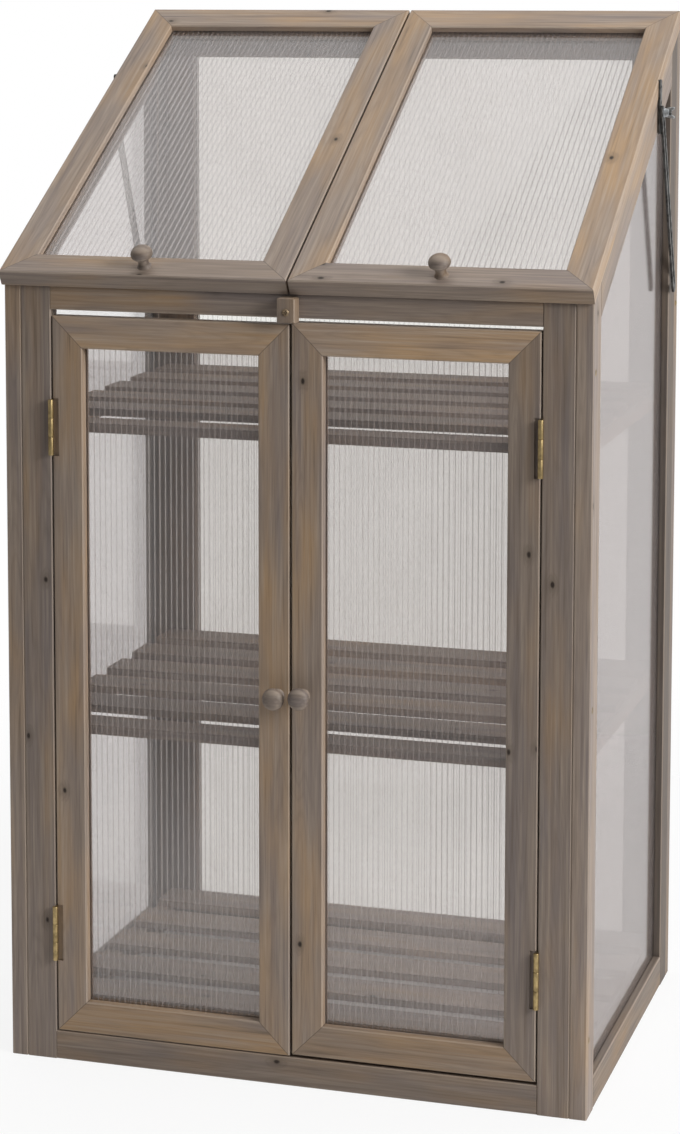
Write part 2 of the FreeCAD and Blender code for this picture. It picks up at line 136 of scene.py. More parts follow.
def emptied(owner: bpy.types.Material | bpy.types.World) -> Callable[..., bpy.types.Node]:
    """Empties the node tree of a new material or world.

    Args:
        owner: the material or world.

    Returns:
        The function that adds a node to its tree.
    """
    owner.use_nodes = True
    owner.node_tree.nodes.clear()
    return partial(add_node, owner.node_tree)


# Surfaces


@dataclass
class Shell:
    """A closed surface as points in millimetres and faces that point outwards."""

    points: np.ndarray
    faces: list[tuple[int, ...]]

    def placed(self, place: Matrix) -> "Shell":
        """Returns a copy carried by a rigid place: p' = R p + t."""
        turn = np.array(place.to_3x3())
        return Shell(self.points @ turn.T + np.array(place.translation), self.faces)

    def mirrored(self) -> "Shell":
        """Returns the left-hand copy: x' = -x, with its faces turned round to point outwards still."""
        return Shell(self.points * (-1.0, 1.0, 1.0), [face[::-1] for face in self.faces])

    def paired(self) -> "Shell":
        """Returns the surface together with its left-hand copy."""
        return joined([self, self.mirrored()])

    def mesh(self, name: str) -> bpy.types.Mesh:
        """Writes the surface into a mesh in metres in the frame's axes.

        Args:
            name: the mesh's name.

        Returns:
            The mesh, smooth apart from its creases.
        """
        mesh = bpy.data.meshes.new(name)
        moved = (self.points + np.array((0.0, ROW_FRONT, 0.0))) * MM
        mesh.from_pydata(moved.tolist(), [], self.faces)
        shape = bmesh.new()
        shape.from_mesh(mesh)
        bmesh.ops.recalc_face_normals(shape, faces=shape.faces)
        shape.to_mesh(mesh)
        shape.free()
        mesh.shade_smooth()
        mesh.set_sharp_from_angle(angle=CREASE)
        return mesh


def joined(shells: Iterable[Shell]) -> Shell:
    """Puts several surfaces into one.

    Args:
        shells: the surfaces.

    Returns:
        One surface that holds them all, still separate from each other.
    """
    points: list[np.ndarray] = []
    faces: list[tuple[int, ...]] = []
    start = 0
    for shell in shells:
        points.append(shell.points)
        faces += [tuple(corner + start for corner in face) for face in shell.faces]
        start += len(shell.points)
    return Shell(np.concatenate(points), faces)


def carried(rings: np.ndarray, closed: bool = False) -> Shell:
    """Joins rings of points, each of which wraps on itself, into a surface.

    Args:
        rings: points by ring and by place round the ring.
        closed: True where the last ring joins the first. Otherwise both ends are capped.

    Returns:
        The surface, whose quads join point (i, j) to (i, j + 1), (i + 1, j + 1) and (i + 1, j).
    """
    index = np.arange(rings.shape[0] * rings.shape[1]).reshape(rings.shape[:2])
    low = index if closed else index[:-1]
    high = np.roll(index, -1, axis=0) if closed else index[1:]
    quads = np.stack([low, np.roll(low, -1, axis=1), np.roll(high, -1, axis=1), high], axis=-1).reshape(-1, 4)
    faces = [tuple(quad) for quad in quads.tolist()]
    if not closed:
        faces += [tuple(index[0][::-1].tolist()), tuple(index[-1].tolist())]
    return Shell(rings.reshape(-1, 3), faces)


def quarter(count: int) -> np.ndarray:
    """Angles through a quarter turn, with both its ends."""
    return np.linspace(0.0, math.pi / 2.0, count)


def full_turn(count: int) -> np.ndarray:
    """Angles once round, without the last."""
    return np.linspace(0.0, 2.0 * math.pi, count, endpoint=False)


def lathe(radius: np.ndarray, height: np.ndarray, sides: int) -> Shell:
    """Turns a profile round the w axis: (r cos a, r sin a, h).

    Args:
        radius: the profile's radii.
        height: its heights.
        sides: points round the axis.

    Returns:
        The turned surface, capped at both ends.
    """
    turn = full_turn(sides)
    level = np.repeat(height[:, None], sides, axis=1)
    return carried(np.stack([radius[:, None] * np.cos(turn), radius[:, None] * np.sin(turn), level], axis=-1))


def inset(outline: np.ndarray, distance: float) -> np.ndarray:
    """Moves an outline inwards by the same distance on every side.

    Each corner moves along the sum of its two sides' normals, divided by one plus their dot product.

    Args:
        outline: the corners, anticlockwise.
        distance: how far inwards.

    Returns:
        The moved corners.
    """
    side = np.roll(outline, -1, axis=0) - outline
    normal = np.stack([side[:, 1], -side[:, 0]], axis=-1) / np.linalg.norm(side, axis=1)[:, None]
    before = np.roll(normal, 1, axis=0)
    share = 1.0 + (normal * before).sum(axis=1)
    return outline - distance * (normal + before) / share[:, None]


def plate(outline: np.ndarray, low: float, high: float, ease: float) -> Shell:
    """Gives an outline thickness, with its arrises rounded over by a quarter circle.

    Args:
        outline: the corners, anticlockwise, in u and v.
        low: the lower face's height.
        high: the upper face's height.
        ease: the radius of the rounding.

    Returns:
        The solid plate.
    """
    turn = quarter(3)
    inwards = ease * (1.0 - np.sin(turn))
    rise = ease * (1.0 - np.cos(turn))
    levels = [(step, low + up) for step, up in zip(inwards, rise)]
    levels += [(step, high - up) for step, up in zip(inwards[::-1], rise[::-1])]
    rings = [np.column_stack([inset(outline, step), np.full(len(outline), height)]) for step, height in levels]
    return carried(np.stack(rings))


def stadium(foot: float, radius: float, steps: int) -> np.ndarray:
    """The outline of a bar with round ends about (0, 0) and (0, foot), anticlockwise.

    Args:
        foot: how far along v the second end's centre is, below zero.
        radius: the radius of both ends.
        steps: sides in each half circle.

    Returns:
        The outline's corners.
    """
    turn = np.linspace(0.0, math.pi, steps + 1)
    top = np.stack([radius * np.cos(turn), radius * np.sin(turn)], axis=-1)
    return np.concatenate([top, np.array((0.0, foot)) - top])


def rectangle(left: float, right: float, bottom: float, top: float) -> np.ndarray:
    """The corners of a rectangle, anticlockwise."""
    return np.array([(left, bottom), (right, bottom), (right, top), (left, top)], float)


def slotted_bar(outer: np.ndarray, inner: np.ndarray, low: float, high: float, ease: float) -> Shell:
    """A flat bar with a slot: a small section with eased corners, carried round between two outlines.

    Args:
        outer: the bar's outline.
        inner: the slot's outline, with as many corners.
        low: the lower face's height.
        high: the upper face's height.
        ease: how much the arrises are eased.

    Returns:
        The bar, whose point at share s across is inner + s (outer - inner).
    """
    width = np.linalg.norm(outer[0] - inner[0])
    edge = ease / width
    section = np.array([
        (edge, low), (1.0 - edge, low), (1.0, low + ease), (1.0, high - ease),
        (1.0 - edge, high), (edge, high), (0.0, high - ease), (0.0, low + ease),
    ])
    share = section[None, :, :1]
    height = section[:, 1]
    flat = inner[:, None, :] + share * (outer - inner)[:, None, :]
    level = np.broadcast_to(height[None, :, None], flat.shape[:2] + (1,))
    return carried(np.concatenate([flat, level], axis=-1), closed=True)


def facing(origin: Sequence[float], across: Vector, up: Vector) -> Matrix:
    """The place of a flat piece: u runs across it, v up it and w stands out of it.

    Args:
        origin: where u, v and w start.
        across: the direction of u.
        up: the direction of v.

    Returns:
        The place as a matrix.
    """
    out = across.cross(up)
    place = Matrix((across, up, out)).transposed().to_4x4()
    place.translation = Vector(origin)
    return place


# The object's own sizes

X = Vector((1.0, 0.0, 0.0))
Y = Vector((0.0, 1.0, 0.0))
Z = Vector((0.0, 0.0, 1.0))


@dataclass(frozen=True)
class Cabinet:
    """The sizes that several assemblies share, in millimetres."""

    width: float = 620.0
    depth: float = 456.0
    front_height: float = 822.0
    rear_height: float = 1086.0
    stock_width: float = 33.0
    stock_thickness: float = 18.0
    lid_overhang: float = 4.0
    lid_outer: float = 311.0
    lid_gap: float = 2.0
    lid_top_rail: float = 38.0
    door_gap: float = 2.5
    door_outer: float = 257.5
    door_bottom: float = 33.5
    door_top: float = 791.5
    left_drop: float = 2.0

    @property
    def slope(self) -> float:
        """The slope of the roof, as rise over run."""
        return (self.rear_height - self.front_height) / self.depth

    @property
    def up_slope(self) -> Vector:
        """The direction up the roof."""
        return Vector((0.0, 1.0, self.slope)).normalized()

    @property
    def lid_corner(self) -> Vector:
        """The right lid's lower inner corner, on its top face.

        Returns:
            The corner in the part's own axes.
        """
        front = -self.lid_overhang
        under = Vector((self.lid_gap / 2.0, front, self.front_height + self.slope * front))
        return under + X.cross(self.up_slope) * self.stock_thickness

    @property
    def lid_length(self) -> float:
        """The lid's length up the slope."""
        return (self.depth + self.lid_overhang) * math.hypot(1.0, self.slope)


CABINET = Cabinet()
# Each side's name, its sign along X, and how far its door hangs low.
SIDES = (("right", 1.0, 0.0), ("left", -1.0, CABINET.left_drop))
ROW_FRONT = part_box("front_stiles")[0].y / MM


# Finishes


class Grain(Enum):
    """Which way a piece of timber lies: its grain's direction, and across its broad face."""

    UPRIGHT = (Z, X)
    UPRIGHT_SIDE = (Z, Y)
    ACROSS = (X, Z)
    ACROSS_FLAT = (X, Y)
    DEPTH = (Y, Z)
    SLOPE = (CABINET.up_slope, X)
    SLOPE_SIDE = (CABINET.up_slope, X.cross(CABINET.up_slope))
    ACROSS_SLOPE = (X, CABINET.up_slope)


@dataclass(frozen=True)
class StainedFir:
    """Planed fir under one thin coat of grey-brown stain.

    The eye gets a matt taupe with tan and grey streaks along the grain, dark latewood lines 3 to 8 mm apart,
    small dark knots, paler arrises where the coat is worn thin and where a painted highlight stands for the
    light they catch, and darker end grain.
    """

    grain: Grain
    warmth: float = 0.4
    tone: float = 1.0
    knots: float = 0.22
    seams: tuple[tuple[Vector, Vector], ...] = ()
    knot_cell: tuple[float, float] = (190.0, 36.0)
    lines: float = 17.0
    line_share: float = 0.24
    pale: str = "#AC9D8E"
    taupe: str = "#8B7C70"
    tan: str = "#A68866"
    grey: str = "#7C726F"
    latewood: str = "#5A4E42"
    knot: str = "#2E241D"

    def material(self, name: str) -> bpy.types.Material:
        """Builds the finish for one piece.

        The pattern's axes are u along the grain, v across the face and w into the wood. Latewood lines are the
        level lines of a noise 14 times as long as it is wide.

        Args:
            name: the piece's name, which also picks where in the pattern it starts.

        Returns:
            The material.
        """
        material = bpy.data.materials.new("stained_fir_" + name)
        add = emptied(material)
        along, across = self.grain.value
        turn = Matrix((along, across, along.cross(across))).to_euler()
        chance = np.random.default_rng(zlib.crc32(name.encode()))
        coordinates = add("TexCoord")
        place = add("Mapping", {"Vector": coordinates.outputs["Object"], "Rotation": turn,
                                "Location": tuple(chance.uniform(-9.0, 9.0, 3))})
        normal = add("Mapping", {"Vector": coordinates.outputs["Normal"], "Rotation": turn})

        facets = add("SeparateXYZ", {0: normal})
        side = [add("Math", {0: facets.outputs[axis]}, operation="ABSOLUTE") for axis in range(3)]
        # The chamfered arrises: facets that face neither the broad nor the narrow side. They get paler wear and
        # a painted highlight.
        sloping = add("Math", {0: side[1], 1: side[2]}, operation="MINIMUM")

        # Noises: how long and how wide a feature is in mm, detail, roughness, and a shift that sets them apart.
        noises = {
            "flow": (330.0, 24.0, 1.5, 0.42, 0.0),
            "knot_edge": (9.0, 5.0, 1.0, 0.5, 3.0),
            "fibre": (26.0, 0.9, 2.0, 0.6, 5.0),
            "streak": (140.0, 3.4, 2.0, 0.55, 11.0),
            "drift": (150.0, 34.0, 2.0, 0.5, 17.0),
            "greying": (260.0, 20.0, 2.0, 0.5, 29.0),
        }
        pattern: dict[str, bpy.types.Node] = {}
        for key, (long, wide, detail, rough, shift) in noises.items():
            scale = (1 / (long * MM), 1 / (wide * MM), 1 / (wide * MM))
            sized = add("Mapping", {"Vector": place, "Scale": scale, "Location": (shift, shift, shift)})
            pattern[key] = add("TexNoise", {"Vector": sized, "Scale": 1.0, "Detail": detail,
                                            "Roughness": rough})

        # Knots: a share of the Voronoi cells holds one, seen end on in the board's broad faces.
        long, wide = self.knot_cell
        celled = add("Mapping", {"Vector": place, "Scale": (1 / (long * MM), 1 / (wide * MM), 0.0)})
        nearest = add("TexVoronoi", {"Vector": celled, "Scale": 1.0, "Randomness": 0.85})
        offset = add("VectorMath", {0: celled, 1: nearest.outputs["Position"]}, operation="SUBTRACT")
        in_mm = add("VectorMath", {0: offset, 1: (long, wide * 1.5, 0.0)}, operation="MULTIPLY")
        reach = add("VectorMath", {0: in_mm}, operation="LENGTH")
        uneven = add("Math", {0: pattern["knot_edge"], 1: 3.0, 2: reach.outputs["Value"]},
                     operation="MULTIPLY_ADD")
        chosen = add("SeparateColor", {"Color": nearest.outputs["Color"]})
        held = add("Math", {0: chosen.outputs["Red"], 1: self.knots}, operation="LESS_THAN")

        # Ramps: what is read, from where to where, and what that becomes.
        ramps = {
            "broad": (side[2], 0.70, 0.90, 0.0, 1.0),
            "core": (uneven, 3.2, 5.4, 1.0, 0.0),
            "halo": (uneven, 4.0, 15.0, 1.0, 0.0),
            "warm": (pattern["drift"], 0.54 - 0.28 * self.warmth, 0.82 - 0.22 * self.warmth, 0.0, 0.85),
            "cool": (pattern["greying"], 0.40 + 0.16 * self.warmth, 0.66 + 0.12 * self.warmth, 0.0, 0.75),
            "thin": (pattern["streak"], 0.46, 0.74, 0.0, 0.55),
            "dark": (pattern["streak"], 0.40, 0.28, 0.0, 0.42),
            "speck": (pattern["fibre"], 0.25, 0.75, 0.90, 1.09),
            "gloss": (pattern["fibre"], 0.3, 0.7, 0.50, 0.66),
            # Arrises: paler where the coat is worn, and a painted highlight for the light that the eased edges
            # catch.
            "rubbed_and_highlit": (sloping, 0.35, 0.60, 0.0, 0.40),
            "end": (side[0], 0.80, 0.95, 0.0, 0.55),
        }
        for number, (point, square) in enumerate(self.seams):
            there = (point + Vector((0.0, ROW_FRONT, 0.0))) * MM
            level = add("VectorMath", {0: coordinates.outputs["Object"], 1: square}, operation="DOT_PRODUCT")
            gap = add("Math", {0: level.outputs["Value"], 1: there.dot(square)}, operation="SUBTRACT")
            near = add("Math", {0: gap}, operation="ABSOLUTE")
            ramps[f"seam_{number}"] = (near, 0.12 * MM, 0.50 * MM, 0.60, 0.0)
        share = {
            key: add("MapRange", {"Value": source, "From Min": low, "From Max": high,
                                  "To Min": start, "To Max": end})
            for key, (source, low, high, start, end) in ramps.items()
        }

        # Latewood: level lines of the long noise, bent round the knots.
        present = add("Math", {0: held, 1: share["broad"]}, operation="MULTIPLY")
        core = add("Math", {0: share["core"], 1: present}, operation="MULTIPLY")
        halo = add("Math", {0: share["halo"], 1: present}, operation="MULTIPLY")
        # So many to a unit of the noise lie 3 to 8 mm apart.
        bent = add("Math", {0: halo, 1: 0.10, 2: pattern["flow"]}, operation="MULTIPLY_ADD")
        levels = add("Math", {0: bent, 1: self.lines}, operation="MULTIPLY")
        ring = add("Math", {0: levels}, operation="FRACT")
        line = add("ValToRGB", {"Fac": ring}, stops=(
            (0.0, "#9A9A9A"), (0.10, "#151515"), (0.55, "#303030"), (0.86, "#C8C8C8"), (0.97, "#9A9A9A")))
        rings = add("Math", {0: line, 1: self.line_share}, operation="MULTIPLY")
        round_knot = add("Math", {0: halo, 1: 0.45}, operation="MULTIPLY")
        shade = add("Math", {0: share["speck"], 1: self.tone}, operation="MULTIPLY")
        grey_shade = add("CombineColor", {"Red": shade, "Green": shade, "Blue": shade})

        # The stain over taupe, from the bottom up: it drifts to tan and to grey, thins, and darkens in the
        # latewood and the knots. Arrises are paler, partly where the coat is worn and partly as a painted
        # highlight, end grain drinks more, a mitre holds a dark line.
        colour: Any = linear(self.taupe)
        layers = [
            (share["warm"], linear(self.tan), "MIX"),
            (share["cool"], linear(self.grey), "MIX"),
            (share["thin"], linear(self.pale), "MIX"),
            (rings, linear(self.latewood), "MIX"),
            (share["dark"], linear(self.latewood), "MIX"),
            (1.0, grey_shade, "MULTIPLY"),
            (round_knot, linear(self.latewood), "MIX"),
            (core, linear(self.knot), "MIX"),
            # Painted highlight on the arrises, laid on together with their worn coat.
            (share["rubbed_and_highlit"], linear(self.pale), "MIX"),
            (share["end"], linear(self.latewood), "MIX"),
        ]
        layers += [(share[f"seam_{number}"], linear(self.knot), "MIX") for number in range(len(self.seams))]
        for amount, over, how in layers:
            colour = add("Mix", {0: amount, "A": colour, "B": over}, data_type="RGBA", blend_type=how)

        relief = add("Math", {0: pattern["fibre"], 1: 0.6, 2: rings}, operation="MULTIPLY_ADD")
        bump = add("Bump", {"Height": relief, "Strength": 0.35, "Distance": 0.25 * MM})
        surface = add("BsdfPrincipled", {"Base Color": colour, "Roughness": share["gloss"],
                                         "Normal": bump, "Specular IOR Level": 0.35})
        add("OutputMaterial", {"Surface": surface})
        return material


@dataclass(frozen=True)
class TwinWallPolycarbonate:
    """Extruded clear polycarbonate, two skins 4 mm apart with a rib every 6 mm.

    The eye gets a milky veil over what is behind it, a comb of fine lines where the ribs catch and mirror the
    light, and a bright sheen at a grazing angle.
    """

    across: Vector
    dust_patch: float = 1000.0 / 14.0
    veil: str = "#E6E0DC"
    tint: str = "#FAF9F9"
    skin_veil: float = 0.035
    rib_veil: float = 0.42
    gloss: str = "#FFFFFF"

    def material(self, name: str) -> bpy.types.Material:
        """Builds the finish for a sheet whose ribs stand across the given direction.

        Args:
            name: the sheet's name.

        Returns:
            The material.
        """
        material = bpy.data.materials.new("twin_wall_polycarbonate_" + name)
        add = emptied(material)
        coordinates = add("TexCoord")
        facet = add("VectorMath", {0: coordinates.outputs["Normal"], 1: self.across}, operation="DOT_PRODUCT")
        turned = add("Math", {0: facet.outputs["Value"]}, operation="ABSOLUTE")
        rib = add("Math", {0: turned, 1: 0.5}, operation="GREATER_THAN")
        dust = add("TexNoise", {"Vector": coordinates.outputs["Object"], "Detail": 3.0,
                                "Scale": 1 / (self.dust_patch * MM)})
        thin = add("MapRange", {"Value": dust, "From Min": 0.3, "From Max": 0.7,
                                "To Min": self.skin_veil * 0.8, "To Max": self.skin_veil * 1.2})
        share = add("Mix", {0: rib, "A": thin, "B": self.rib_veil}, data_type="FLOAT")
        clear = add("BsdfTransparent", {"Color": linear(self.tint)})
        scattered = add("BsdfTranslucent", {"Color": linear(self.veil)})
        lit = add("BsdfDiffuse", {"Color": linear(self.veil)})
        milk = add("MixShader", {0: 0.5, 1: scattered, 2: lit})
        body = add("MixShader", {0: share, 1: clear, 2: milk})
        # From inside the plastic the node turns the index over, so it is given the other way up there.
        behind = add("NewGeometry").outputs["Backfacing"]
        index = add("Mix", {0: behind, "A": 1.58, "B": 1.0 / 1.58}, data_type="FLOAT")
        sheen = add("Fresnel", {"IOR": index})
        held = add("Math", {0: sheen, 1: 0.75}, operation="MULTIPLY")
        polish = add("BsdfGlossy", {"Color": linear(self.gloss), "Roughness": 0.08})
        surface = add("MixShader", {0: held, 1: body, 2: polish})
        add("OutputMaterial", {"Surface": surface})
        return material


@dataclass(frozen=True)
class PlatedSteel:
    """Pressed or turned steel under a thin plating.

    The eye gets a satin metal with cloudy patches of dulled plating and fine specks.
    """

    bright: str
    dull: str
    roughness: float
    metallic: float = 1.0
    cloud_size: float = 6.25
    speck_size: float = 1.0 / 1.4

    def material(self, name: str) -> bpy.types.Material:
        """Builds the finish.

        Args:
            name: the metal's name.

        Returns:
            The material.
        """
        material = bpy.data.materials.new(name)
        add = emptied(material)
        coordinates = add("TexCoord")
        cloud, speck = (
            add("TexNoise", {"Vector": coordinates.outputs["Object"], "Scale": 1 / (size * MM),
                             "Detail": detail})
            for size, detail in ((self.cloud_size, 3.0), (self.speck_size, 2.0))
        )
        dulled = add("MapRange", {"Value": cloud, "From Min": 0.42, "From Max": 0.66, "To Max": 0.85})
        colour = add("Mix", {0: dulled, "A": linear(self.bright), "B": linear(self.dull)}, data_type="RGBA")
        rough = add("MapRange", {"Value": cloud, "From Min": 0.35, "From Max": 0.7,
                                 "To Min": self.roughness, "To Max": self.roughness + 0.22})
        bump = add("Bump", {"Height": speck, "Strength": 0.2, "Distance": 0.05 * MM})
        surface = add("BsdfPrincipled", {"Base Color": colour, "Roughness": rough, "Normal": bump,
                                         "Metallic": self.metallic})
        add("OutputMaterial", {"Surface": surface})
        return material


BRASS = PlatedSteel(bright="#BDA677", dull="#8E7C59", roughness=0.34)
DARK_STEEL = PlatedSteel(bright="#5B5A58", dull="#2C2A29", roughness=0.38, metallic=0.9)
ZINC = PlatedSteel(bright="#B9BCBE", dull="#7E8081", roughness=0.34)
DULLED_BRASS = PlatedSteel(bright="#94826A", dull="#5B4D40", roughness=0.42)
YELLOW_STEEL = PlatedSteel(bright="#A08A5C", dull="#5E503C", roughness=0.36)


# Putting pieces into the scene


def show(name: str, shell: Shell, body: str, slot: str, material: bpy.types.Material,
         *nodes: str) -> None:
    """Makes one finished piece that rides on a body.

    Args:
        name: the piece's name.
        shell: its surface.
        body: the body that carries it.
        slot: a material slot's name, which is not used.
        material: its finish.
        nodes: the CAD nodes that it stands for.
    """
    mesh = shell.mesh(name)
    mesh.materials.append(material)
    piece = bpy.data.objects.new(name, mesh)
    bpy.context.scene.collection.objects.link(piece)
    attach(piece, body)
    if nodes:
        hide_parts(*nodes)
    LOG.info("%s: %d faces on %s", name, len(mesh.polygons), body)


def coat(node: str, material: bpy.types.Material) -> None:
    """Puts a finish on a CAD node.

    Args:
        node: the node's name.
        material: its finish.
    """
    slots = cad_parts[node].material_slots
    if not slots:
        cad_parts[node].data.materials.append(material)
    for slot in slots:
        slot.material = material
    LOG.info("%s: %s", node, material.name)


def mitre_seams(corner: Vector, across: Vector, up: Vector, width: float, height: float,
                top: float) -> list[tuple[Vector, Vector]]:
    """The planes of a mitred frame's four joints: two at its left end, then two at its right end.

    Args:
        corner: the frame's lower left corner.
        across: the direction of its width.
        up: the direction of its height.
        width: its width.
        height: its height.
        top: the width of its top rail.

    Returns:
        For each joint, a point on it and the direction square to it.
    """
    stock = CABINET.stock_width
    joints = (((0.0, 0.0), (stock, stock)), ((0.0, height), (stock, -top)),
              ((width, 0.0), (-stock, stock)), ((width, height), (-stock, -top)))
    planes = []
    for (u, v), (run, rise) in joints:
        square = (across * rise - up * run).normalized()
        planes.append((corner + across * u + up * v, square))
    return planes


# Timber and sheets


@dataclass
class Carcass:
    """The fixed frames, their sheets and the three shelves. Each timber has its grain, warmth and tone."""

    timbers: tuple[tuple[str, Grain, float, float], ...] = (
        ("front_stiles", Grain.UPRIGHT, 0.10, 0.90),
        ("front_top_rail", Grain.ACROSS, 0.35, 1.00),
        ("front_bottom_rail", Grain.ACROSS, 0.35, 0.78),
        ("right_side_front_stile", Grain.UPRIGHT_SIDE, 0.10, 1.08),
        ("left_side_front_stile", Grain.UPRIGHT_SIDE, 0.25, 1.00),
        ("right_side_rear_stile", Grain.UPRIGHT_SIDE, 0.15, 0.40),
        ("left_side_rear_stile", Grain.UPRIGHT_SIDE, 0.15, 0.40),
        ("side_bottom_rails", Grain.DEPTH, 0.25, 0.70),
        ("right_side_top_rail", Grain.SLOPE_SIDE, 0.30, 1.00),
        ("left_side_top_rail", Grain.SLOPE_SIDE, 0.30, 1.00),
        ("back_stiles", Grain.UPRIGHT, 0.25, 0.75),
        ("back_top_rail", Grain.ACROSS, 0.20, 0.90),
        ("back_bottom_rail", Grain.ACROSS, 0.30, 1.00),
        ("bottom_shelf_slats", Grain.ACROSS_FLAT, 0.00, 1.28),
        ("middle_shelf_slats", Grain.ACROSS_FLAT, 0.20, 0.98),
        ("top_shelf_slats", Grain.ACROSS_FLAT, 0.20, 0.86),
        ("shelf_front_rails", Grain.ACROSS_FLAT, 0.20, 1.02),
        ("shelf_cleats", Grain.DEPTH, 0.30, 1.00),
    )

    def dress(self) -> None:
        """Coats the timbers and the sheets."""
        for node, grain, warmth, tone in self.timbers:
            coat(node, StainedFir(grain, warmth=warmth, tone=tone).material(node))
        for node, tint, rib, gloss in (("right_side_panel", "#FDFCFC", 0.10, "#E8E7E7"),
                                       ("left_side_panel", "#FFFFFF", 0.03, "#FFFFFF")):
            finish = TwinWallPolycarbonate(Y, tint=tint, skin_veil=0.022, rib_veil=rib, gloss=gloss)
            coat(node, finish.material(node))
        coat("back_panel", TwinWallPolycarbonate(X, tint="#FEFEFD", rib_veil=0.22).material("back_panel"))


@dataclass
class MitredFrames:
    """The doors and the lids: mitred members round a sheet, with their warmth and tone, right and then left."""

    members: tuple[tuple[str, tuple[float, float], tuple[float, float]], ...] = (
        ("door_meeting_stile", (0.50, 1.04), (0.55, 1.03)),
        ("door_hinge_stile", (0.20, 0.86), (0.60, 1.04)),
        ("door_top_rail", (0.95, 1.30), (0.80, 1.26)),
        ("door_bottom_rail", (0.80, 0.88), (0.85, 0.92)),
        ("lid_inner_side", (0.60, 1.08), (0.25, 1.08)),
        ("lid_outer_side", (0.85, 1.14), (0.50, 1.10)),
        ("lid_top_rail", (0.45, 1.22), (0.50, 1.16)),
        ("lid_bottom_rail", (0.10, 1.09), (0.15, 1.04)),
    )
    door_rib_veil: float = 0.30
    lid_rib_veil: float = 0.18

    def dress(self) -> None:
        """Coats every member with its grain along it, and the sheets."""
        for number, (side, sign, drop) in enumerate(SIDES):
            across = X * sign
            door = Vector((sign * CABINET.door_gap / 2.0, 0.0, CABINET.door_bottom - drop))
            door_seams = mitre_seams(door, across, Z, CABINET.door_outer - CABINET.door_gap / 2.0,
                                     CABINET.door_top - CABINET.door_bottom, CABINET.stock_width)
            lid = CABINET.lid_corner
            lid.x *= sign
            lid_seams = mitre_seams(lid, across, CABINET.up_slope, CABINET.lid_outer - CABINET.lid_gap / 2.0,
                                    CABINET.lid_length, CABINET.lid_top_rail)
            for member, *looks in self.members:
                upright, level, seams = Grain.UPRIGHT, Grain.ACROSS, door_seams
                if member.startswith("lid"):
                    upright, level, seams = Grain.SLOPE, Grain.ACROSS_SLOPE, lid_seams
                grain, own = (level, seams) if member.endswith("rail") else (upright, seams[:2])
                if member.endswith(("hinge_stile", "outer_side")):
                    own = seams[2:]
                node = side + "_" + member
                warmth, tone = looks[number]
                coat(node, StainedFir(grain, warmth=warmth, tone=tone, seams=tuple(own)).material(node))
            for part, veil in (("_door_panel", self.door_rib_veil), ("_lid_panel", self.lid_rib_veil)):
                coat(side + part, TwinWallPolycarbonate(X, rib_veil=veil).material(side + part))


# Turned and pressed pieces


@dataclass
class Knobs:
    """Four turned mushroom knobs: a spread foot, a waisted stem and a domed head."""

    height: float = 23.75
    head_radius: float = 11.4
    neck_radius: float = 5.4
    base_radius: float = 7.5
    neck_height: float = 4.0
    flare_radius: float = 6.4
    flare_height: float = 11.0
    rim_height: float = 15.5
    door_inset: float = 12.25
    door_height: float = 411.0
    lid_inset: float = 16.5
    sides: int = 56

    def shell(self) -> Shell:
        """One knob that stands on w = 0.

        Returns:
            The turned surface. The foot falls in by a sine, the stem flares by a square, the head's underside
            is a quarter ellipse, and its dome is r = R cos^0.9 a, h = rim + rise sin a.
        """
        foot, under, dome = quarter(7), quarter(9)[1:], quarter(20)[1:-1]
        stem = np.linspace(0.0, 1.0, 6)[1:]
        radius = np.concatenate([
            self.base_radius - (self.base_radius - self.neck_radius) * np.sin(foot),
            self.neck_radius + (self.flare_radius - self.neck_radius) * stem**2,
            self.flare_radius + (self.head_radius - self.flare_radius) * np.sin(under),
            self.head_radius * np.cos(dome) ** 0.9,
            [0.02],
        ])
        height = np.concatenate([
            self.neck_height * foot / foot[-1],
            self.neck_height + (self.flare_height - self.neck_height) * stem,
            self.rim_height - (self.rim_height - self.flare_height) * np.cos(under),
            self.rim_height + (self.height - self.rim_height) * np.sin(dome),
            [self.height],
        ])
        return lathe(radius, height, self.sides)

    def build(self) -> None:
        """Puts a knob on each door and each lid."""
        knob = self.shell()
        lid = CABINET.lid_corner + CABINET.up_slope * self.lid_inset
        lid.x += (CABINET.lid_outer - CABINET.lid_gap / 2.0) / 2.0
        door = Vector((CABINET.door_gap / 2.0 + self.door_inset, 0.0, self.door_height))
        for side, sign, drop in SIDES:
            on_door = facing((sign * door.x, door.y, door.z - drop), X, Z)
            on_lid = facing((sign * lid.x, lid.y, lid.z), X, CABINET.up_slope)
            for part, place, tone in (("_door", on_door, 0.80), ("_lid", on_lid, 0.76)):
                node = side + part + "_knob"
                finish = StainedFir(Grain.ACROSS, warmth=0.1, tone=tone, knots=0.0)
                show(node + "_turned", knob.placed(place), side + part, "turned_wood",
                     finish.material(node), node)


